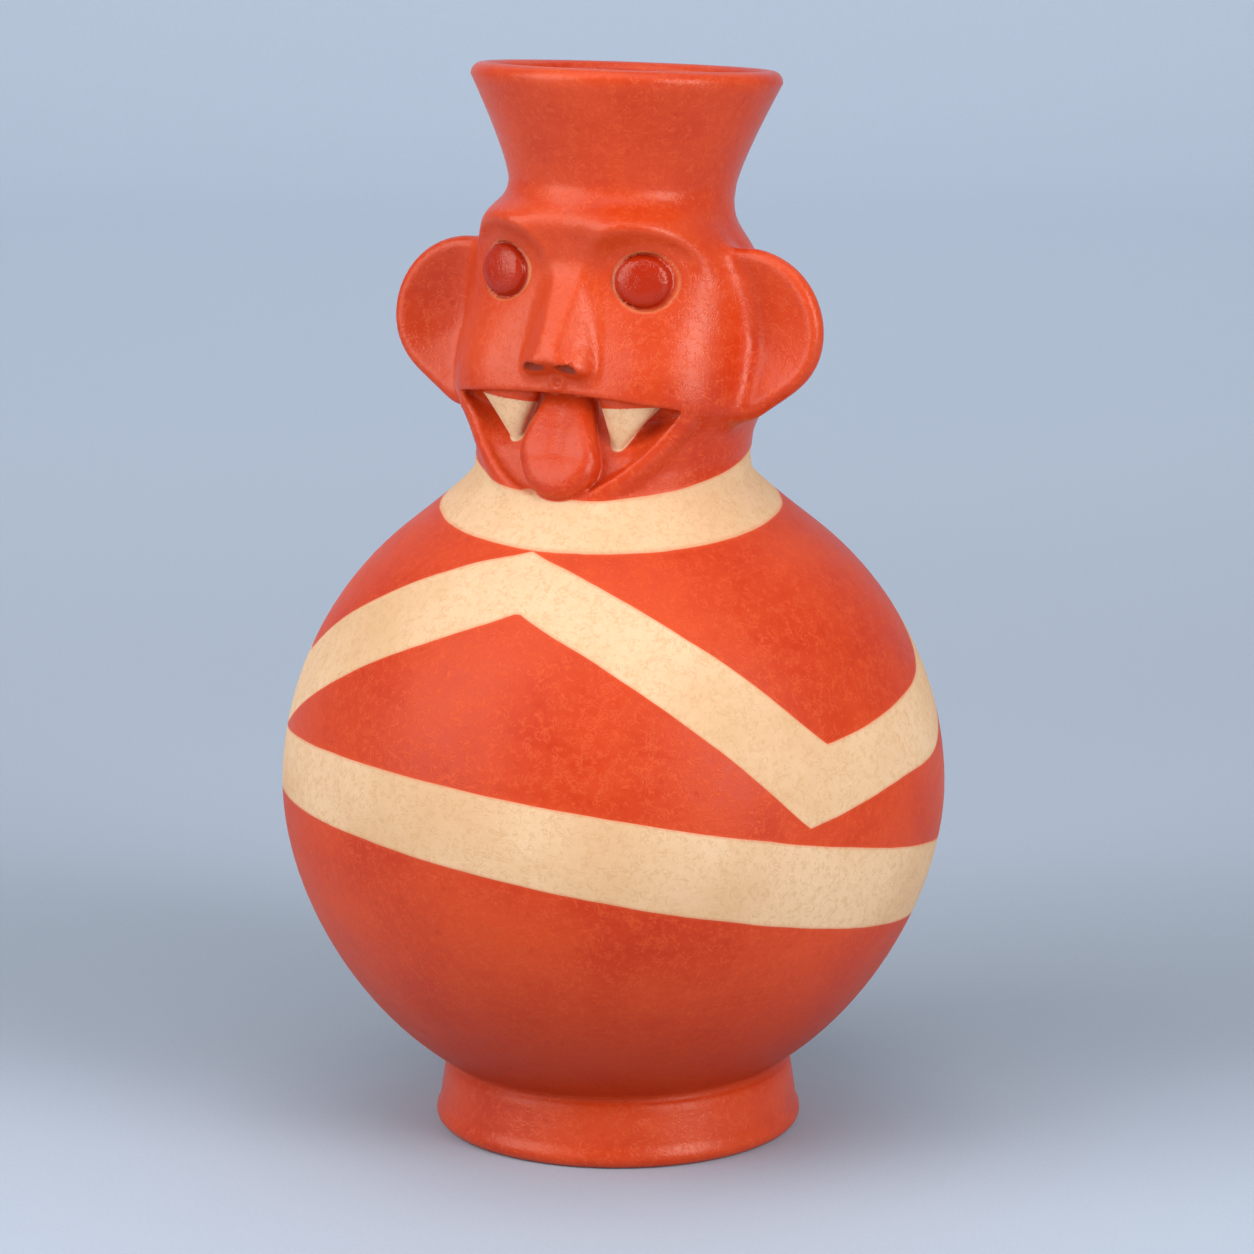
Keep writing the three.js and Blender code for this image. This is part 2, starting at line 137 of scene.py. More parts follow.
eye = {
    "out": 0.298, "up": 0.665, "turn": 0.28, "ring": (0.124, 0.112), "ball": (0.108, 0.098),
    "dome": 0.042, "sink": 0.036, "wall": 0.8, "aside": 0.012, "squareness": 2.6,
}
ear = {
    "out": 0.58, "up": 0.45, "front": 0.105, "radius": 0.32, "rim": 0.048, "dish": 0.075, "back": 0.12,
    "swell": 0.06, "swellAt": 0.52, "cut": 0.07, "cutAt": -0.9, "cutWidth": 0.49, "tail": 0.08,
    "tailAt": -1.5, "tailWidth": 0.3, "tilt": 0.021, "lobe": 0.35, "lobeAt": -0.35,
}
nose = {
    "bridgeUp": 0.685, "ridge": 0.448, "forward": 0.547, "halfRidge": 0.062, "leastRidge": 0.032,
    "narrowing": 0.11, "tip": 0.612, "tipUp": 0.36, "top": 0.8, "wing": 0.16, "under": 0.345,
    "underFront": 0.6,
}
nostril = {"out": 4.5, "front": 39.7, "up": 21.6, "radius": 2.3}
mouth = {
    "corner": 0.482, "cornerUp": 0.187, "lipUp": 0.222, "low": -0.123, "depth": 0.125, "bead": 0.044,
    "gumUp": 0.172, "gumOut": 0.138, "gumSlope": 0.097,
}
tongue = {
    "halfWidth": 0.168, "shift": 0.034, "halfThick": 0.055,
    "path": ((0.33, 0.22), (0.43, 0.11), (0.5, -0.02), (0.54, -0.06), (0.552, -0.125)), "tipLength": 0.165,
    "rounding": 3.4, "groove": 0.55, "grooveWidth": 2.8,
}
fang = {
    "top": 0.21, "tip": 0.004, "out": 0.21, "slant": 0.22, "half": 0.125, "front": 0.395,
    "thick": 0.5, "deep": 1.3,
}
# how far each form melts into the next, in millimetres
fillet = {
    "ear": 4.5, "socket": 0.45, "ball": 0.5, "nose": 2.0, "lip": 2.4, "mouth": 1.0, "nostril": 0.4,
    "fang": 0.4, "tongue": 0.8,
}
headTall = vessel["headHeight"]


def stationTable():
    rows = np.array([[up, *((v or 0) * headTall for v in (side, front, back)), square]
                     for up, side, front, back, square in headStations])
    rows[:2, 1:4] = vessel["neckRadius"]
    rows[-2:, 1:4] = vessel["waistRadius"]
    fine = np.linspace(rows[1, 0], 1, 600)
    values = []
    for up in fine:
        i = min(max(int(np.searchsorted(rows[:, 0], up, side="left")) - 1, 1), len(rows) - 3)
        span = rows[i + 1, 0] - rows[i, 0]
        t = (up - rows[i, 0]) / span
        before = (rows[i + 1] - rows[i - 1]) / (rows[i + 1, 0] - rows[i - 1, 0])
        after = (rows[i + 2] - rows[i]) / (rows[i + 2, 0] - rows[i, 0])
        rise = (3 - 2 * t) * t * t
        value = rows[i] + (rows[i + 1] - rows[i]) * rise
        values.append(value + span * (before * t * (1 - t) ** 2 - after * t * t * (1 - t)))
    return fine, np.array(values)[:, 1:]


stationUps, stationValues = stationTable()


def headOutline(h):
    return [np.interp(np.asarray(h) / headTall, stationUps, stationValues[:, k]) for k in range(4)]


# Radius of the turned skin behind the carving: shoulder, neck, waist and flare
profileRows = (shoulderRows(vessel["solidRadius"], vessel["shoulderRadius"], vessel["neckRadius"], 60)
               + [(vessel["waistRadius"], waistHeight)]
               + spoutRows(vessel["waistRadius"], vessel["rimRadius"], waistHeight,
                           rimHeight - vessel["rimThickness"] / 2, 60)[1:])
profileHeights = np.array([z for r, z in profileRows]) - headBase
profileRadii = np.array([r for r, z in profileRows])


def turnedRadius(h):
    return np.interp(h, profileHeights, profileRadii)


def headRadius(h, sine, cosine, inset=0.0):
    side, front, back, square = headOutline(h)
    sine = np.abs(sine)
    facing = np.maximum(cosine, 0)
    faceReach = (sine / (side - inset)) ** square + (facing / (front - inset)) ** square
    faceReach = (faceReach + 1e-9) ** (-1 / square)
    backReach = 1 / np.sqrt((sine / (side - inset)) ** 2 + (cosine / (back - inset)) ** 2)
    reach = np.where(cosine > 0, faceReach, backReach)
    turned = turnedRadius(h) - inset
    within = smoothStep(h, -2.5, 1.0) * (1 - smoothStep(h, headTall - 1.5, headTall + 0.5))
    return turned + (reach - turned) * within


def carvedPush(x, h):
    aside = np.abs(x) / headTall
    push = 0
    for out, up, width, height, depth in carving.values():
        push = push + depth * headTall * bump((aside - out) / width, (h / headTall - up) / height)
    across = aside - eye["out"]
    above = h / headTall - eye["up"]
    away = np.hypot(across, above)
    upper = smoothStep(above / np.maximum(away, 1e-6), -0.1, 0.7)
    arch = browArch["lift"] * np.exp(-((away - browArch["radius"]) / browArch["width"]) ** 2)
    furrow = browArch["cut"] * np.exp(-((away - browArch["furrow"]) / browArch["width"]) ** 2)
    dimple = np.hypot(x, (h - philtrum["up"]) * 1.1)
    ring = philtrum["lift"] * np.exp(-((dimple - philtrum["radius"]) / philtrum["width"]) ** 2)
    return push + (arch - furrow) * upper * headTall + ring


def faceFront(h, out):
    side, front, _, square = headOutline(h)
    return front * (1 - np.minimum(0.99, np.abs(out) / side) ** square) ** (1 / square)


def skinDistance(x, f, h):
    r = np.hypot(x, f)
    sine, cosine = x / np.maximum(r, 1e-6), f / np.maximum(r, 1e-6)
    reach = headRadius(h, sine, cosine)
    onFace = smoothStep(cosine, -0.05, 0.35) * smoothStep(h, 2, 14) * (1 - smoothStep(h, 66, 72))
    push = carvedPush(x, h) * onFace
    return (r - reach - push) * 0.93


def earDistance(x, f, h, side):
    u = side * x / headTall - ear["out"]
    v = h / headTall - ear["up"] - side * ear["tilt"]
    w = f / headTall - ear["front"]
    around = np.arctan2(v, u)
    low = np.maximum(0, -np.sin(around - ear["lobeAt"])) ** 1.5
    shape = 1 + ear["swell"] * np.cos(around - ear["swellAt"])
    shape = shape - ear["cut"] * np.exp(-((around - ear["cutAt"]) / ear["cutWidth"]) ** 2)
    shape = shape + ear["tail"] * np.exp(-((around - ear["tailAt"]) / ear["tailWidth"]) ** 2)
    radius = ear["radius"] * shape
    s = np.hypot(u, v) / radius
    middle = np.maximum(0, 1 - s * s) ** 1.4
    rim = ear["rim"] * (1 + ear["lobe"] * low)
    centre = -0.5 * (ear["dish"] + ear["back"]) * middle
    thick = rim - 0.5 * (ear["dish"] - ear["back"]) * middle
    edge = (s - 1) * radius + rim
    face = np.abs(w - centre) - thick + rim
    d = np.hypot(np.maximum(0, edge), np.maximum(0, face)) + np.minimum(0, np.maximum(edge, face)) - rim
    return d * headTall * 0.85


def eyeDistances(x, f, h, side):
    front = faceFront(eye["up"] * headTall, eye["out"] * headTall) - eye["sink"] * headTall
    dx = x - side * eye["out"] * headTall
    df = f - front
    turn = side * eye["turn"]
    across = dx * math.cos(turn) - df * math.sin(turn)
    deep = dx * math.sin(turn) + df * math.cos(turn)
    up = h - eye["up"] * headTall

    def rim(halfWidth, halfHeight):
        return np.hypot(across / (halfWidth * headTall), up / (halfHeight * headTall))

    wall = (rim(*eye["ring"]) - 1) * eye["ring"][1] * headTall
    thick = np.abs(deep + 0.008 * headTall) / (eye["dome"] * headTall)
    ball = np.hypot((across / headTall + eye["aside"]) / eye["ball"][0], up / headTall / eye["ball"][1])
    power = eye["squareness"]
    dome = ((ball ** power + thick ** power) ** (1 / power) - 1) * eye["dome"] * headTall
    return wall, -deep - eye["wall"], dome


def noseDistance(x, f, h):
    a = np.abs(x) / headTall
    front = f / headTall
    up = h / headTall
    down = nose["bridgeUp"] - up
    ridge = nose["ridge"] + down * nose["forward"]  # the flat ridge runs forward as it comes down
    facet = (front - ridge) * 0.877
    halfRidge = np.maximum(nose["leastRidge"], nose["halfRidge"] - down * nose["narrowing"])
    side = (a - halfRidge - (ridge - front) * (1 + down)) * 0.65
    tip = front - nose["tip"] + (up - nose["tipUp"]) * 0.2
    under = (nose["under"] - up - (nose["underFront"] - front) * 0.5 - a * 0.14) * 0.88
    top = up - nose["top"]
    wing = a - nose["wing"]
    d = softMax(softMax(facet, side, 0.014), softMax(under, top, 0.03), 0.026)
    d = softMax(softMax(d, wing, 0.08), softMax(tip, 0.3 - front, 0.03), 0.02)
    return d * headTall


def nostrilDistance(x, f, h, side):
    return np.sqrt(((x - side * nostril["out"]) * 0.75) ** 2 + (f - nostril["front"]) ** 2
                   + (h - nostril["up"]) ** 2) - nostril["radius"]


def smileHeight(out):
    return mouth["low"] + (mouth["cornerUp"] - mouth["low"]) * (out / mouth["corner"]) ** 2


def mouthDistance(x, f, h):
    out = x / headTall
    up = h / headTall
    lip = mouth["cornerUp"] + (mouth["lipUp"] - mouth["cornerUp"]) * (1 - (out / mouth["corner"]) ** 2)
    slope = 2 * (mouth["cornerUp"] - mouth["low"]) * np.abs(out) / mouth["corner"] ** 2
    lower = (smileHeight(out) - up) / np.sqrt(1 + slope ** 2)
    opening = softMax(up - lip, lower, 0.02) * headTall
    r = np.hypot(x, f)
    rise = (up - smileHeight(out)) / np.maximum(lip - smileHeight(out), 0.05)
    corner = smoothStep(1 - np.abs(out) / mouth["corner"], 0.02, 0.4)
    deep = mouth["depth"] * headTall * (0.2 + 0.8 * smoothStep(rise, 0, 0.6)) * (0.35 + 0.65 * corner)
    floor = headRadius(h, x / np.maximum(r, 1e-6), f / np.maximum(r, 1e-6), deep)
    return softMax(softMax(opening, (floor - r) * 0.8, 2.0), -f, 1)


def beadDistance(x, f, h):
    out = np.linspace(-1, 1, 61) * (mouth["corner"] - 0.02)
    up = smileHeight(out) - mouth["bead"] * 0.6
    front = faceFront(up * headTall, out * headTall) - mouth["bead"] * 0.5 * headTall
    radius = mouth["bead"] * headTall * (1 - 0.35 * (out / mouth["corner"]) ** 4)
    nearest = np.full(x.shape, 1e3)
    for a, u, fr, r in zip(out * headTall, up * headTall, front, radius):
        nearest = np.minimum(nearest, np.sqrt((x - a) ** 2 + (f - fr) ** 2 + (h - u) ** 2) - r)
    return nearest


def tongueDistance(x, f, h):
    root, bend, lip, fall, tip = tongue["path"]
    path = bezier(root, bend, lip, 8) + bezier(lip, fall, tip, 6)[1:]
    best = np.full(x.shape, 1e3)
    along = np.zeros(x.shape)
    path = [(a * headTall, b * headTall) for a, b in path]
    total = 0
    for (f0, h0), (f1, h1) in zip(path[:-1], path[1:]):
        length = math.hypot(f1 - f0, h1 - h0)
        t = ((f - f0) * (f1 - f0) + (h - h0) * (h1 - h0)) / length ** 2
        t = np.clip(t, 0, 3 if (f1, h1) == path[-1] else 1)
        d = np.hypot(f - f0 - t * (f1 - f0), h - h0 - t * (h1 - h0))
        closer = d < best
        best = np.where(closer, d, best)
        along = np.where(closer, total + t * length, along)
        total += length
    share = along / total
    shift = tongue["shift"] * headTall * smoothStep(share, 0.3, 0.9)
    half = tongue["halfWidth"] * headTall * (0.62 + 0.38 * smoothStep(share, 0.1, 0.7))
    tipLength = tongue["tipLength"] * headTall
    endward = np.maximum(0, along - total + tipLength) / tipLength
    rounding = tongue["rounding"]
    qx = (np.hypot((x - shift) / half, endward) - 1) * half * 0.92 + rounding
    grooved = smoothStep(share, 0.2, 0.4) * (1 - smoothStep(share, 0.62, 0.8))
    groove = tongue["groove"] * np.exp(-((x - shift) / tongue["grooveWidth"]) ** 2) * grooved
    qn = best - tongue["halfThick"] * headTall + rounding + groove
    return np.hypot(np.maximum(qx, 0), np.maximum(qn, 0)) + np.minimum(0, np.maximum(qx, qn)) - rounding


def fangDistance(x, f, h, side):
    up = h / headTall
    share = (up - fang["tip"]) / (fang["top"] - fang["tip"])
    out = side * x / headTall - fang["out"] - fang["slant"] * (up - fang["tip"])
    front = f / headTall - fang["front"]
    front = front / np.where(front > 0, fang["thick"], fang["deep"])
    r = np.sqrt(out ** 2 + front ** 2 + 0.0001)
    d = (r - fang["half"] * share) * 0.8
    return softMax(d, up - fang["top"], 0.01) * headTall * 0.72


def carvedDistance(x, f, h):
    d = skinDistance(x, f, h)
    for side in (-1, 1):
        d = softMin(d, earDistance(x, f, h, side), fillet["ear"])
        wall, floor, dome = eyeDistances(x, f, h, side)
        socket = softMax(softMax(wall, floor, 0.8), -20 - floor, 0.5)
        d = softMax(d, -socket, fillet["socket"])
        d = softMin(d, dome, fillet["ball"])
    d = softMin(d, noseDistance(x, f, h), fillet["nose"])
    d = softMin(d, beadDistance(x, f, h), fillet["lip"])
    d = softMax(d, -mouthDistance(x, f, h), fillet["mouth"])
    for side in (-1, 1):
        d = softMax(d, -nostrilDistance(x, f, h, side), fillet["nostril"])
        d = softMin(d, fangDistance(x, f, h, side), fillet["fang"])
    d = softMin(d, tongueDistance(x, f, h), fillet["tongue"])
    ends = np.maximum(1 - smoothStep(h, meshing["headLow"] + 1.5, meshing["headLow"] + 3.5),
                      smoothStep(h, meshing["headHigh"] - 3.5, meshing["headHigh"] - 1.5))
    return d + ends * (np.hypot(x, f) - turnedRadius(h) - d)


def distanceInSlabs(x, f, h):
    flat = [np.ascontiguousarray(a).ravel() for a in (x, f, h)]
    size = 200000
    parts = [carvedDistance(*(a[i:i + size] for a in flat)) for i in range(0, flat[0].size, size)]
    return np.concatenate(parts).reshape(np.shape(x))


# Columns stand closer together on the face than behind it
def columnAngle(index, h):
    around = 2 * math.pi * index / meshing["columns"]
    crowd = meshing["crowding"] * smoothStep(h, -3 * vessel["leanBlend"], 0)
    return around - crowd * np.sin(around)


def carvedHead():
    n = meshing["columns"]
    step = meshing["step"]
    heights = np.arange(meshing["headLow"], meshing["headHigh"], step)
    offsets = np.arange(-meshing["reachIn"] + step / 2, meshing["reachOut"], step)
    offsets = offsets - offsets[np.argmin(np.abs(offsets))] + step / 2
    i, j, k = np.meshgrid(np.arange(n), offsets, heights, indexing="ij")
    angle = columnAngle(i, k)
    r = turnedRadius(k) + j
    nodes = np.stack([r * np.sin(angle), r * np.cos(angle), k], -1)
    d = distanceInSlabs(nodes[..., 0], nodes[..., 1], nodes[..., 2])
    inside = d < 0
    nextInside = np.roll(inside, -1, 0)
    count = sum(block[:, a:a + inside.shape[1] - 1, b:b + inside.shape[2] - 1].astype(int)
                for block in (inside, nextInside) for a in (0, 1) for b in (0, 1))
    active = (count > 0) & (count < 8)
    ids = np.full(active.shape, -1)
    cells = np.argwhere(active)
    ids[tuple(cells.T)] = np.arange(len(cells))
    corners = [(a, b, c) for a in (0, 1) for b in (0, 1) for c in (0, 1)]
    at = [((cells[:, 0] + a) % n, cells[:, 1] + b, cells[:, 2] + c) for a, b, c in corners]
    values = np.stack([d[p] for p in at], 1)
    places = np.stack([nodes[p] for p in at], 1)
    total = np.zeros((len(cells), 3))
    crossings = np.zeros((len(cells), 1))
    for p, first in enumerate(corners):
        for q, second in enumerate(corners):
            if q <= p or sum(abs(s - t) for s, t in zip(first, second)) != 1:
                continue
            cross = (values[:, p] < 0) != (values[:, q] < 0)
            span = np.where(cross, values[:, p] - values[:, q], 1)
            t = (values[:, p] / span)[:, None]
            total += np.where(cross[:, None], places[:, p] + t * (places[:, q] - places[:, p]), 0)
            crossings += cross[:, None]
    points = total / crossings
    for _ in range(3):
        points = ontoSurface(points)
    return points, latticeFaces(inside, ids), ids


def ontoSurface(points, reach=0.4):
    eps = 0.12
    d = distanceInSlabs(*points.T)
    gradient = np.stack([
        distanceInSlabs(*(points + shift).T) - distanceInSlabs(*(points - shift).T)
        for shift in np.eye(3) * eps], 1) / (2 * eps)
    size = np.maximum(np.sum(gradient ** 2, 1), 0.05)
    move = gradient * (d / size)[:, None]
    length = np.maximum(np.linalg.norm(move, axis=1), 1e-9)
    return points - move * np.minimum(1, reach / length)[:, None]


# One quad round each lattice edge that the surface crosses
def latticeFaces(inside, ids):
    faces = []
    n = inside.shape[0]
    for axis in range(3):
        follow = np.roll(inside, -1, 0) if axis == 0 else np.roll(inside, -1, axis)
        crossed = inside != follow
        if axis == 1:
            crossed[:, -1] = False
        if axis == 2:
            crossed[:, :, -1] = False
        if axis != 1:
            crossed[:, 0] = False
            crossed[:, -1] = False
        if axis != 2:
            crossed[:, :, 0] = False
            crossed[:, :, -1] = False
        at = np.argwhere(crossed)
        u, v = [a for a in range(3) if a != axis]
        ring = []
        for du, dv in ((-1, -1), (0, -1), (0, 0), (-1, 0)):
            cell = at.copy()
            cell[:, u] += du
            cell[:, v] += dv
            cell[:, 0] %= n
            cell[:, 1] = np.clip(cell[:, 1], 0, ids.shape[1] - 1)
            cell[:, 2] = np.clip(cell[:, 2], 0, ids.shape[2] - 1)
            ring.append(ids[tuple(cell.T)])
        quad = np.stack(ring, 1)
        out = inside[tuple(at.T)]
        turn = out if axis == 1 else ~out
        quad[~turn] = quad[~turn][:, ::-1]
        faces.append(quad)
    faces = np.concatenate(faces)
    return faces[(faces >= 0).all(1)]


def leaned(points):
    x, y, z = points.T
    aside = smoothStep(z, headBase + 0.7 * headTall, waistHeight)
    tilt = smoothStep(z, waistHeight, rimHeight)
    z = z + (vessel["spoutTilt"][0] * x + vessel["spoutTilt"][1] * y) * tilt
    x = x + vessel["spoutShift"][0] * aside
    y = y + vessel["spoutShift"][1] * aside
    share = smoothStep(z, headBase - vessel["leanBlend"], headBase + vessel["leanBlend"])
    turn = vessel["lean"] * share
    up = z - headBase
    back = y * np.cos(turn) + up * np.sin(turn)
    return np.stack([x, back, headBase - y * np.sin(turn) + up * np.cos(turn)], 1)


def turnedRing(radius, height, shape=None, shift=(0, 0)):
    angle = columnAngle(np.arange(meshing["columns"]) + 0.5, height - headBase)
    reach = radius if shape is None else shape(radius, height - headBase, angle)
    return np.stack([reach * np.sin(angle) + shift[0], -reach * np.cos(angle) + shift[1],
                     np.full(angle.shape, height)], 1)


def footRings():
    base = foot["widestRadius"] - foot["edge"] / 2
    inner = base - foot["baseWidth"]
    rows = [(r, foot["hollow"]) for r in (0.5, 14, 28, inner - 4.5)]
    rows += [(inner - 2.2, foot["hollow"] - 0.9), (inner - 0.8, 2.0), (inner, 0.45), (inner + 0.6, 0.0)]
    rows += [(inner + 3, 0.0), (base - 1.6, 0.0), (base - 0.5, 0.12), (base + 0.35, 0.6)]
    rows += [(foot["widestRadius"] - inward, z) for inward, z in ((0.25, 1.4), (0, foot["edge"]), (0.15, 4.0))]
    for share in np.linspace(0.3, 0.92, 9):
        narrowing = (foot["widestRadius"] - foot["topRadius"]) * (0.1 + 0.9 * share) ** 1.1
        rows.append((foot["widestRadius"] - narrowing, foot["height"] * share))
    rows += [(foot["topRadius"] - inward, foot["height"] + up) for inward, up in ((0.15, -0.6), (0.55, 0.1))]
    return [turnedRing(r, z, shift=foot["shift"]) for r, z in rows]


def bodyRings():
    body = sphereRows(vessel["bodyRadius"], foot["topRadius"] + 0.4, vessel["shoulderRadius"])
    heights = np.arange(body[-1][1] + 1.5, headBase + meshing["headLow"], 1.2)
    shoulder = [(turnedRadius(z - headBase), z) for z in heights]
    return [turnedRing(r, z) for r, z in body + shoulder]


def cavityShape(radius, up, angle):
    if up > headTall:
        return radius
    wall = vessel["waistWall"]
    sideSkin, _, backSkin, _ = headOutline(up)
    inHead = smoothStep(up, 0, 0.2 * headTall)
    side = radius + (min(sideSkin - wall, 0.475 * headTall) - radius) * inHead
    back = radius + (min(backSkin - wall, 0.475 * headTall) - radius) * inHead
    mouthFront = headOutline(mouth["cornerUp"] * headTall)[1] - mouth["depth"] * headTall - wall
    drawn = smoothStep(up, -0.32 * headTall, -0.14 * headTall)
    drawn = drawn * (1 - smoothStep(up, 0.75 * headTall, headTall))
    front = side + (mouthFront - side) * drawn
    return np.hypot(side * np.sin(angle), np.where(np.cos(angle) > 0, front, back) * np.cos(angle))


def spoutAndCavityRings():
    waist = vessel["waistRadius"]
    top = rimHeight - vessel["rimThickness"] / 2
    outer = spoutRows(waist, vessel["rimRadius"], waistHeight, top, 16)
    netTop = headBase + meshing["headHigh"] - meshing["step"]
    rows = [(turnedRadius(z - headBase), z) for r, z in outer if z > netTop + 0.6]
    half = vessel["rimThickness"] / 2
    for turn in np.linspace(0.12, 0.88, 9) * math.pi:
        rows.append((vessel["rimRadius"] - half + half * math.cos(turn), top + half * math.sin(turn)))
    innerWaist = waist - vessel["waistWall"]
    rows += spoutRows(innerWaist, vessel["rimRadius"] - vessel["rimThickness"], waistHeight, top, 12)[::-1]
    innerNeck = vessel["neckRadius"] - vessel["neckWall"]
    rows += [(innerNeck, headBase + headTall * share) for share in np.linspace(0.97, 0.03, 12)]
    innerRadius = vessel["solidRadius"] - vessel["wall"]
    leave = vessel["shoulderRadius"] - vessel["wall"]
    rows += shoulderRows(innerRadius, leave, innerNeck, 8)[::-1]
    rows += sphereRows(innerRadius, 0.5, leave)[::-3]
    past = 12  # the rows up to this one are outside or on the rim
    return [turnedRing(r, z, cavityShape if z < waistHeight and n > past else None)
            for n, (r, z) in enumerate(rows)]


def jugMesh():
    points, faces, ids = carvedHead()
    print("head carved:", len(points), "points")
    points = np.stack([points[:, 0], -points[:, 1], points[:, 2] + headBase], 1)
    n = meshing["columns"]
    low = np.array([column[column >= 0][0] for column in ids[:, :, 0]])
    high = np.array([column[column >= 0][0] for column in ids[:, :, -1]])
    below = footRings() + bodyRings()
    above = spoutAndCavityRings()
    allPoints = [points]
    quads = [faces]
    start = len(points)

    def strip(first, second):
        quads.append(np.stack([first, np.roll(first, -1), np.roll(second, -1), second], 1))

    previous = None
    for ring in below:
        index = np.arange(n) + start
        allPoints.append(ring)
        start += n
        if previous is not None:
            strip(previous, index)
        else:
            firstRing = index
        previous = index
    strip(previous, low)
    previous = high
    for ring in above:
        index = np.arange(n) + start
        allPoints.append(ring)
        start += n
        strip(previous, index)
        previous = index
    vertices = leaned(np.concatenate(allPoints))
    flat = np.concatenate(quads).tolist()
    flat.append(firstRing[::-1].tolist())
    flat.append(previous.tolist())
    mesh = bpy.data.meshes.new("jugSurface")
    mesh.from_pydata((vertices * mm).tolist(), [], flat)
    mesh.validate()
    headPoints = allPoints[0]
    x, f, h = headPoints[:, 0], -headPoints[:, 1], headPoints[:, 2] - headBase
    # Each mask is a distance in millimetres, above zero inside its form
    nearFang = np.minimum(fangDistance(x, f, h, -1), fangDistance(x, f, h, 1))
    nearTongue = tongueDistance(x, f, h)
    gum = (mouth["gumUp"] + mouth["gumSlope"] * (np.abs(x) / headTall - mouth["gumOut"])) * headTall
    masks = {"tongue": 0.6 - nearTongue}
    masks["fang"] = np.minimum(np.minimum(0.3 - nearFang, nearTongue - 0.4), gum - h)
    # the mouth-floor mask marks where painted shade darkens the inside of the mouth
    masks["mouthFloor"] = np.minimum(-2.5 - mouthDistance(x, f, h), -masks["fang"])
    # painted shade: the nostril mask marks where the nostrils are painted near black
    nearNostril = np.minimum(nostrilDistance(x, f, h, -1), nostrilDistance(x, f, h, 1))
    masks["nostril"] = 0.25 - nearNostril
    for name in ("eyeball", "socket", "ringHighlight", "crescent"):
        masks[name] = np.full(len(x), -3.0)
    for side in (-1, 1):
        wall, floor, dome = eyeDistances(x, f, h, side)
        masks["eyeball"] = np.maximum(masks["eyeball"], np.minimum(0.3 - dome, 8 - floor))
        socket = np.minimum(np.minimum(-0.1 - wall, dome - 0.4), 3 - floor)
        masks["socket"] = np.maximum(masks["socket"], socket)
        # painted highlight: a thin pale line along the edge of each eye ring
        masks["ringHighlight"] = np.maximum(masks["ringHighlight"], np.minimum(0.3 - np.abs(wall - 0.1), 3 - floor))
        if side < 0:
            masks["crescent"] = np.minimum(socket, (x + eye["out"] * headTall) * 0.4 - 0.8)
    crest = max(range(len(above)), key=lambda k: above[k][0, 2])
    masks["inner"] = np.full(len(vertices), -3.0)
    masks["inner"][len(points) + (len(below) + crest) * n:] = 3
    for name, mask in masks.items():
        values = np.full(len(vertices), -3.0, np.float32)
        values[:len(mask)] = np.clip(mask, -3, 3)
        attribute = mesh.attributes.new(name, "FLOAT", "POINT")
        attribute.data.foreach_set("value", values)
    mesh.polygons.foreach_set("use_smooth", np.ones(len(mesh.polygons), bool))
    mesh.update()
    print("jug mesh:", len(mesh.vertices), "vertices,", len(mesh.polygons), "faces")
    return mesh


# Shader node groups

def newGroup(name, inputs, outputs):
    group = bpy.data.node_groups.new(name, "ShaderNodeTree")
    for label, kind, value in inputs:
        socket = group.interface.new_socket(label, in_out="INPUT", socket_type=kind)
        if value is not None:
            socket.default_value = value
    for label, kind in outputs:
        group.interface.new_socket(label, in_out="OUTPUT", socket_type=kind)
    source = group.nodes.new("NodeGroupInput")
    sink = group.nodes.new("NodeGroupOutput")
    return group, source, sink


class Wiring:
    def __init__(self, tree):
        self.tree = tree

    def put(self, socket, value):
        if isinstance(value, bpy.types.NodeSocket):
            self.tree.links.new(value, socket)
        else:
            socket.default_value = value

    def node(self, kind, values=None, **settings):
        made = self.tree.nodes.new(kind)
        for key, value in settings.items():
            setattr(made, key, value)
        for key, value in (values or {}).items():
            self.put(made.inputs[key], value)
        return made

    def math(self, operation, a, b=0.0, c=0.0):
        return self.node("ShaderNodeMath", {0: a, 1: b, 2: c}, operation=operation).outputs[0]

    def ramp(self, value, low, high, toLow=0.0, toHigh=1.0):
        return self.node("ShaderNodeMapRange", {0: value, 1: low, 2: high, 3: toLow, 4: toHigh},
                         interpolation_type="SMOOTHSTEP").outputs[0]

    def noise(self, place, scale, detail=3.0, roughness=0.5, distortion=0.0):
        made = self.node("ShaderNodeTexNoise", {"Scale": scale, "Detail": detail, "Roughness": roughness,
                                                "Distortion": distortion, "Vector": place})
        return made.outputs["Fac"]

    def mix(self, share, a, b):
        made = self.node("ShaderNodeMix", data_type="RGBA")
        self.put(made.inputs[0], share)
        self.put(made.inputs[6], a)
        self.put(made.inputs[7], b)
        return made.outputs[2]


# Painted bands, in millimetres of the part's own frame
bands = {
    "ringTop": (-0.0948, -0.1921, 95.43), "ringBottom": (-0.1342, -0.1660, 76.47),
    "collarTop": (-0.0477, 0.1787, 187.06), "collarBottom": (-0.0291, 0.0837, 172.70),
    "edge": 0.17, "waver": 0.9, "curveHeight": 200.0,
}
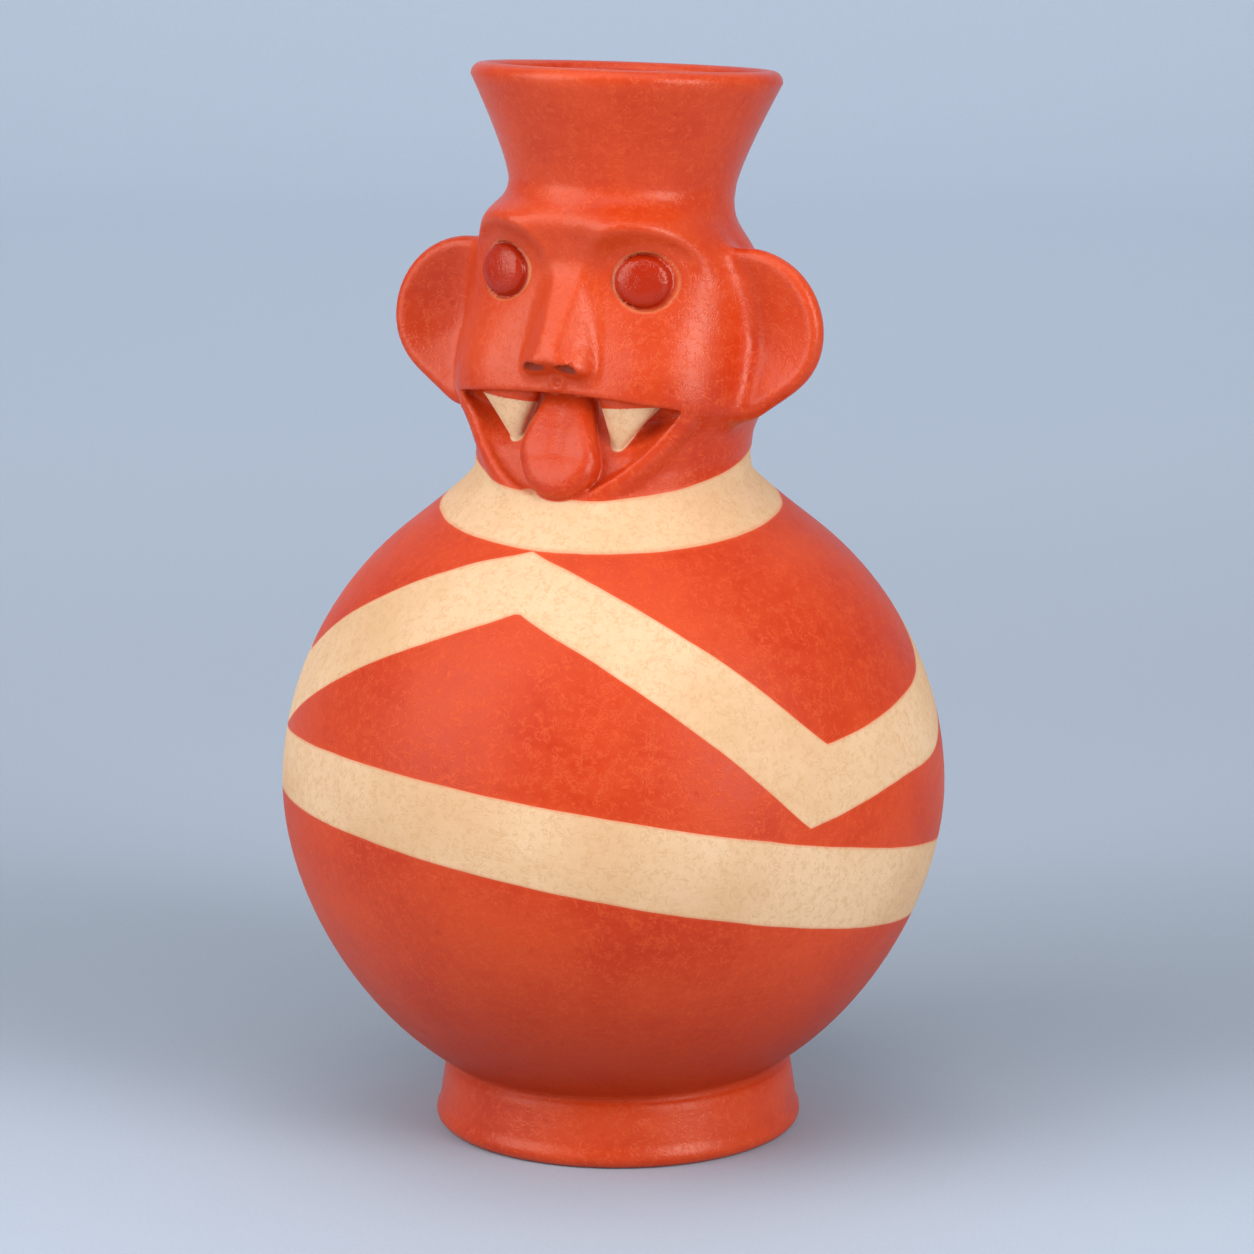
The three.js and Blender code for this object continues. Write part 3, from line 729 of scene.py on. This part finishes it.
# the zigzag's edges: azimuth from the face in degrees, height, and whether the line turns there
zigzagTop = [
    (-180, 106, 1), (-150, 134, 0), (-122, 151, 1), (-90, 145, 0), (-61, 131.5, 1), (-40, 150.3, 0),
    (-18.3, 162.4, 0), (2.6, 168.3, 1), (23.6, 161.2, 0), (44.3, 148.2, 0), (67.6, 121, 1),
    (90, 125.6, 0), (107.8, 130.4, 0), (126, 150, 1), (155, 133, 0), (180, 106, 1),
]
zigzagBottom = [
    (-180, 86, 1), (-150, 116, 0), (-121, 133, 1), (-90, 127, 0), (-60, 111.5, 1), (-36.8, 131.1, 0),
    (-18.8, 143.4, 0), (5.0, 155.1, 1), (24.3, 143.9, 0), (41.8, 127.6, 0), (61.8, 100.5, 1),
    (84, 106.6, 0), (107.5, 110.1, 0), (127, 131, 1), (155, 114, 0), (180, 86, 1),
]


def edgeCurve(wiring, azimuth, points):
    made = wiring.node("ShaderNodeFloatCurve", {"Value": azimuth})
    curve = made.mapping.curves[0]
    made.mapping.use_clip = False
    for _ in range(len(points) - 2):
        curve.points.new(0.5, 0.5)
    for point, (degrees, height, turns) in zip(curve.points, points):
        point.location = (degrees / 360 + 0.5, height / bands["curveHeight"])
        point.handle_type = "VECTOR" if turns else "AUTO"
    made.mapping.update()
    return wiring.math("MULTIPLY", made.outputs[0], bands["curveHeight"])


def bandGroup():
    group, source, sink = newGroup(
        "paintedBands", [("Place", "NodeSocketVector", None)],
        [("Band", "NodeSocketFloat"), ("EdgeHighlight", "NodeSocketFloat")])
    w = Wiring(group)
    scaled = w.node("ShaderNodeVectorMath", {0: source.outputs["Place"], 1: (1000.0, 1000.0, 1000.0)},
                    operation="MULTIPLY").outputs[0]
    parts = w.node("ShaderNodeSeparateXYZ", {0: scaled}).outputs
    x, y, z = parts[0], parts[1], parts[2]
    wobble = w.math("SUBTRACT", w.noise(scaled, 0.045, 3.0, 0.55), 0.5)
    z = w.math("MULTIPLY_ADD", wobble, bands["waver"], z)
    azimuth = w.math("ARCTAN2", x, w.math("MULTIPLY", y, -1.0))
    turn = w.math("MULTIPLY_ADD", azimuth, 1 / (2 * math.pi), 0.5)

    def above(plane):
        a, b, c = plane
        level = w.math("MULTIPLY_ADD", x, a, w.math("MULTIPLY_ADD", y, b, c))
        return w.math("SUBTRACT", z, level)

    def between(low, high):
        return w.math("MINIMUM", low, w.math("MULTIPLY", high, -1.0))

    ring = between(above(bands["ringBottom"]), above(bands["ringTop"]))
    collar = between(above(bands["collarBottom"]), above(bands["collarTop"]))
    zigzag = between(w.math("SUBTRACT", z, edgeCurve(w, turn, zigzagBottom)),
                     w.math("SUBTRACT", z, edgeCurve(w, turn, zigzagTop)))
    depth = w.math("MAXIMUM", ring, w.math("MAXIMUM", collar, zigzag))
    w.put(sink.inputs["Band"], w.ramp(depth, -bands["edge"], bands["edge"]))
    # the second output marks where a painted highlight runs along each band's edge
    w.put(sink.inputs["EdgeHighlight"], w.math("SUBTRACT", 1.0, w.ramp(w.math("ABSOLUTE", depth), 0.15, 0.9)))
    return group


def burnishGroup():
    group, source, sink = newGroup(
        "burnishMarks", [("Place", "NodeSocketVector", None)],
        [("Fibres", "NodeSocketFloat"), ("Mottle", "NodeSocketFloat"), ("Specks", "NodeSocketFloat"),
         ("Strokes", "NodeSocketFloat"), ("Grain", "NodeSocketFloat")])
    w = Wiring(group)
    place = source.outputs["Place"]
    warped = w.noise(place, 400.0, 2.0, 0.5, 1.8)
    fibre = w.math("ABSOLUTE", w.math("SUBTRACT", warped, 0.5))
    shown = w.ramp(w.noise(place, 420.0, 2.0, 0.5), 0.42, 0.58)
    w.put(sink.inputs["Fibres"], w.math("MULTIPLY", w.ramp(fibre, 0.0, 0.09, 1.0, 0.0), shown))
    w.put(sink.inputs["Grain"], w.noise(place, 1100.0, 2.0, 0.6))
    w.put(sink.inputs["Mottle"], w.noise(place, 22.0, 5.0, 0.6))
    dots = w.node("ShaderNodeTexVoronoi", {"Scale": 260.0, "Vector": place, "Randomness": 1.0})
    draw = w.node("ShaderNodeSeparateColor", {0: dots.outputs["Color"]}).outputs[0]
    chosen = w.math("GREATER_THAN", draw, 0.83)
    dot = w.ramp(dots.outputs["Distance"], 0.1, 0.32, 1.0, 0.0)
    w.put(sink.inputs["Specks"], w.math("MULTIPLY", dot, chosen))
    stretched = w.node("ShaderNodeMapping", {"Vector": place, "Scale": (1.0, 1.0, 3.2)})
    w.put(sink.inputs["Strokes"], w.noise(stretched.outputs[0], 60.0, 4.0, 0.65, 0.6))
    return group


slip = {
    "red": (0.56, 0.036, 0.003, 1), "redDark": (0.43, 0.018, 0.001, 1),
    # the last red on the next line is painted shade, for the underside of the belly
    "redPale": (0.66, 0.075, 0.014, 1), "redBellyShade": (0.3, 0.01, 0.0005, 1),
    "cream": (0.73, 0.465, 0.26, 1), "creamDark": (0.60, 0.33, 0.15, 1),
    "creamPale": (0.81, 0.575, 0.37, 1), "tan": (0.72, 0.34, 0.15, 1),
    # the near black on the next line is painted shade, in the nostrils and on the reflection under the belly
    "eyeRed": (0.40, 0.017, 0.001, 1), "deep": (0.17, 0.012, 0.001, 1),
    "glintRed": (1, 0.8, 0.68, 1), "glintCream": (1, 0.95, 0.9, 1),
    "headGloss": 0.33, "bodyGloss": 0.44, "creamGloss": 0.62,
}


def clayMaterial():
    material = bpy.data.materials.new("burnishedSlip")
    material.use_nodes = True
    tree = material.node_tree
    tree.nodes.clear()
    w = Wiring(tree)
    place = w.node("ShaderNodeTexCoord").outputs["Object"]
    bandNode = w.node("ShaderNodeGroup", node_tree=bandGroup())
    w.put(bandNode.inputs["Place"], place)
    marks = w.node("ShaderNodeGroup", node_tree=burnishGroup())
    w.put(marks.inputs["Place"], place)

    def formMask(name, soft):
        return w.ramp(w.node("ShaderNodeAttribute", attribute_name=name).outputs["Fac"], -soft, soft)

    fangMask = formMask("fang", 0.15)
    eyeMask = formMask("eyeball", 0.3)
    mouthShadeMask = formMask("mouthFloor", 1.5)
    socketMask = formMask("socket", 0.25)
    ringHighlightMask = formMask("ringHighlight", 0.4)
    crescentMask = formMask("crescent", 0.25)
    nostrilShadeMask = formMask("nostril", 0.3)
    tongueMask = formMask("tongue", 0.3)
    plain = w.math("MAXIMUM", tongueMask, formMask("inner", 0.5))  # no paint on the tongue or inside
    bandHere = w.math("MULTIPLY", bandNode.outputs["Band"], w.math("SUBTRACT", 1.0, plain))
    cream = w.math("MAXIMUM", bandHere, fangMask)
    height = w.node("ShaderNodeSeparateXYZ", {0: place}).outputs[2]
    mottle = w.ramp(marks.outputs["Mottle"], 0.3, 0.7)
    strokes = w.ramp(marks.outputs["Strokes"], 0.35, 0.7)

    grain = w.ramp(marks.outputs["Grain"], 0.3, 0.7)
    fibres = marks.outputs["Fibres"]
    specks = marks.outputs["Specks"]
    onFoot = w.ramp(height, 0.022, 0.012)
    low = w.ramp(height, 0.07, 0.022)  # painted shade: the red is darkened and its reflection dulled under the belly
    low = w.math("MULTIPLY", low, w.math("SUBTRACT", 1.0, onFoot))

    def layered(base, layers):
        for mask, share, tone in layers:
            base = w.mix(w.math("MULTIPLY", mask, share), base, slip[tone])
        return base

    red = w.mix(0.5, w.mix(mottle, slip["redDark"], slip["redPale"]), slip["red"])
    red = layered(red, [
        (strokes, 0.22, "redPale"), (fibres, 0.7, "redPale"), (grain, 0.16, "redDark"),
        # painted shade darkens the underside of the belly
        (specks, 0.3, "redDark"), (low, 0.45, "redBellyShade"), (eyeMask, 1.0, "eyeRed"),
        # painted shade deep in the mouth; painted highlight along the edge of each eye ring
        (mouthShadeMask, 0.2, "redDark"), (socketMask, 0.25, "redPale"), (ringHighlightMask, 0.35, "tan"),
        # painted shade: the nostrils are painted near black
        (crescentMask, 0.75, "tan"), (nostrilShadeMask, 0.7, "deep"),
    ])
    pale = w.mix(0.55, w.mix(mottle, slip["creamDark"], slip["creamPale"]), slip["cream"])
    pale = layered(pale, [(fibres, 0.6, "creamDark"), (specks, 0.3, "creamDark"), (grain, 0.2, "creamDark")])
    # painted highlight: a thin paler line along the edges of the painted bands
    edge = w.math("MULTIPLY", bandNode.outputs["EdgeHighlight"], w.math("SUBTRACT", 1.0, plain))
    colour = layered(w.mix(cream, red, pale), [(edge, 0.3, "redPale")])

    onHead = w.ramp(height, 0.172, 0.19)
    polished = w.math("MAXIMUM", onHead, onFoot)
    gloss = w.math("MULTIPLY_ADD", polished, slip["headGloss"] - slip["bodyGloss"], slip["bodyGloss"])
    gloss = w.math("MULTIPLY_ADD", w.math("SUBTRACT", strokes, 0.5), 0.08, gloss)
    gloss = w.math("MULTIPLY_ADD", fibres, 0.06, gloss)
    gloss = w.math("MULTIPLY_ADD", eyeMask, -0.12, gloss)
    creamGloss = w.math("MULTIPLY_ADD", mottle, 0.08, slip["creamGloss"])
    span = w.math("SUBTRACT", creamGloss, gloss)
    roughness = w.math("MULTIPLY_ADD", cream, span, gloss)

    relief = w.math("MULTIPLY_ADD", fibres, 0.45, marks.outputs["Strokes"])
    relief = w.math("MULTIPLY_ADD", marks.outputs["Grain"], 0.5, relief)
    relief = w.math("MULTIPLY_ADD", specks, -0.5, relief)
    relief = w.math("MULTIPLY_ADD", marks.outputs["Mottle"], 1.2, relief)
    relief = w.math("MULTIPLY_ADD", bandNode.outputs["Band"], 0.8, relief)
    bumpNode = w.node("ShaderNodeBump", {"Strength": 0.3, "Distance": 0.00035, "Height": relief})
    # painted shade on the reflection: its tint goes towards near black under the belly
    glint = w.mix(w.math("MULTIPLY", low, 0.6), slip["glintRed"], slip["deep"])
    glint = w.mix(cream, glint, slip["glintCream"])
    shine = w.math("MULTIPLY_ADD", polished, 0.07, 1.39)
    shader = w.node("ShaderNodeBsdfPrincipled", {"Base Color": colour, "Roughness": roughness, "IOR": shine,
                                                 "Normal": bumpNode.outputs[0], "Specular Tint": glint})
    out = w.node("ShaderNodeOutputMaterial")
    w.put(out.inputs[0], shader.outputs[0])
    return material


def jugPiece():
    jug = bpy.data.objects.new("jug_clay", jugMesh())
    bpy.context.collection.objects.link(jug)
    jug.data.materials.append(clayMaterial())
    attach(jug, "root")
    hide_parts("jug")
    return jug


# Studio

studio = {
    "floor": (0.41, 0.465, 0.545, 1), "front": -2.4, "wallDistance": 1.5, "bend": 0.7, "wallHeight": 2.6,
    "halfWidth": 3.2, "aim": 0.14, "world": (0.62, 0.69, 0.78, 1), "worldStrength": 0.46,
    "toneSpan": 3.0, "toneStart": 0.2, "toneTop": 2.0,
    # painted light and shade on the paper: how bright it is at some distances behind the jug, in metres, with
    # a painted shadow band just behind the jug
    "paperLightAndShade": [(-0.6, 1.14), (-0.12, 1.06), (0.01, 0.93), (0.11, 0.8), (0.2, 0.83), (0.3, 0.94), (0.5, 1.0),
              (1.0, 1.2), (2.4, 1.25)],
}
softboxes = [
    # name, azimuth from the camera, elevation, distance, width, height, watts
    ("leftBox", -62, 26, 1.3, 0.95, 1.3, 14.2),
    ("rightBox", 44, 22, 1.45, 0.6, 1.1, 16),
    ("topBox", -10, 74, 1.5, 1.3, 1.3, 9),
]
backLight = {"depth": 1.35, "height": 1.7, "width": 2.6, "deep": 0.7, "tip": 28, "watts": 12}
cameraView = {
    "side": 27.0, "distance": 1.6, "height": 0.51172, "yaw": 0.13, "pitch": 13.18, "lens": 175.37,
}


def backdropSweep():
    s = studio
    steps = 24
    turn = np.linspace(0, math.pi / 2, steps + 1)
    path = [(s["front"], 0.0)]
    path += [(s["wallDistance"] + s["bend"] * math.sin(t), s["bend"] * (1 - math.cos(t))) for t in turn]
    path.append((s["wallDistance"] + s["bend"], s["wallHeight"]))
    side = math.radians(cameraView["side"])
    across = np.array([math.cos(side), math.sin(side), 0])
    away = np.array([-math.sin(side), math.cos(side), 0])
    points = []
    for depth, height in path:
        for half in (-s["halfWidth"], s["halfWidth"]):
            points.append(tuple(away * depth + across * half + np.array([0, 0, height])))
    faces = [(2 * i, 2 * i + 1, 2 * i + 3, 2 * i + 2) for i in range(len(path) - 1)]
    mesh = bpy.data.meshes.new("sweep")
    mesh.from_pydata(points, [], faces)
    mesh.polygons.foreach_set("use_smooth", np.ones(len(mesh.polygons), bool))
    floor = bpy.data.objects.new("floor", mesh)
    bpy.context.collection.objects.link(floor)
    material = bpy.data.materials.new("paperSweep")
    material.use_nodes = True
    w = Wiring(material.node_tree)
    shader = material.node_tree.nodes["Principled BSDF"]
    place = w.node("ShaderNodeTexCoord").outputs["Object"]
    grain = w.ramp(w.noise(place, 900.0, 2.0), 0.3, 0.7)
    darker = tuple(c * 0.96 for c in s["floor"][:3]) + (1,)
    paper = w.mix(grain, darker, s["floor"])
    depth = w.node("ShaderNodeVectorMath", {0: place, 1: tuple(away)}, operation="DOT_PRODUCT").outputs[1]
    # painted light and shade: the paper's colour is scaled by distance behind the jug
    tone = w.node("ShaderNodeFloatCurve", {
        "Value": w.math("MULTIPLY_ADD", depth, 1 / s["toneSpan"], s["toneStart"])})
    curve = tone.mapping.curves[0]
    for _ in range(len(s["paperLightAndShade"]) - 2):
        curve.points.new(0.5, 0.5)
    for point, (metres, share) in zip(curve.points, s["paperLightAndShade"]):
        point.location = (metres / s["toneSpan"] + s["toneStart"], share / s["toneTop"])
    tone.mapping.update()
    litPaper = w.node("ShaderNodeVectorMath", {0: paper}, operation="SCALE")
    w.put(litPaper.inputs["Scale"], w.math("MULTIPLY", tone.outputs[0], s["toneTop"]))
    w.put(shader.inputs["Base Color"], litPaper.outputs[0])
    w.put(shader.inputs["Roughness"], 0.8)
    mesh.materials.append(material)


def areaLight(name, size, watts, place, turned):
    light = bpy.data.lights.new(name, "AREA")
    light.shape = "RECTANGLE"
    light.size, light.size_y = size
    light.energy = watts
    lamp = bpy.data.objects.new(name, light)
    lamp.location = place
    lamp.rotation_euler = turned
    bpy.context.collection.objects.link(lamp)


def studioLights():
    side = math.radians(cameraView["side"])
    for name, azimuth, elevation, distance, width, height, watts in softboxes:
        turn = side + math.radians(azimuth)
        up = math.radians(elevation)
        back = np.array([math.sin(turn) * math.cos(up), -math.cos(turn) * math.cos(up), math.sin(up)])
        place = back * distance + np.array([0, 0, studio["aim"]])
        areaLight(name, (width, height), watts, place, (math.pi / 2 - up, 0, turn))
    b = backLight
    place = (-math.sin(side) * b["depth"], math.cos(side) * b["depth"], b["height"])
    areaLight("paperLight", (b["width"], b["deep"]), b["watts"], place, (math.radians(b["tip"]), 0, side))
    world = bpy.data.worlds.new("studioAir")
    world.use_nodes = True
    world.node_tree.nodes["Background"].inputs[0].default_value = studio["world"]
    world.node_tree.nodes["Background"].inputs[1].default_value = studio["worldStrength"]
    bpy.context.scene.world = world


def photoCamera():
    c = cameraView
    side = math.radians(c["side"])
    data = bpy.data.cameras.new("photoView")
    data.lens = c["lens"]
    data.sensor_width = 36
    camera = bpy.data.objects.new("photoView", data)
    camera.location = (c["distance"] * math.sin(side), -c["distance"] * math.cos(side), c["height"])
    camera.rotation_euler = (math.radians(90 - c["pitch"]), 0, side - math.radians(c["yaw"]))
    bpy.context.collection.objects.link(camera)
    bpy.context.scene.camera = camera


bpy.context.scene.view_settings.view_transform = "Standard"
photoCamera()
backdropSweep()
studioLights()
print("studio set")
jugPiece()
print("jug dressed")
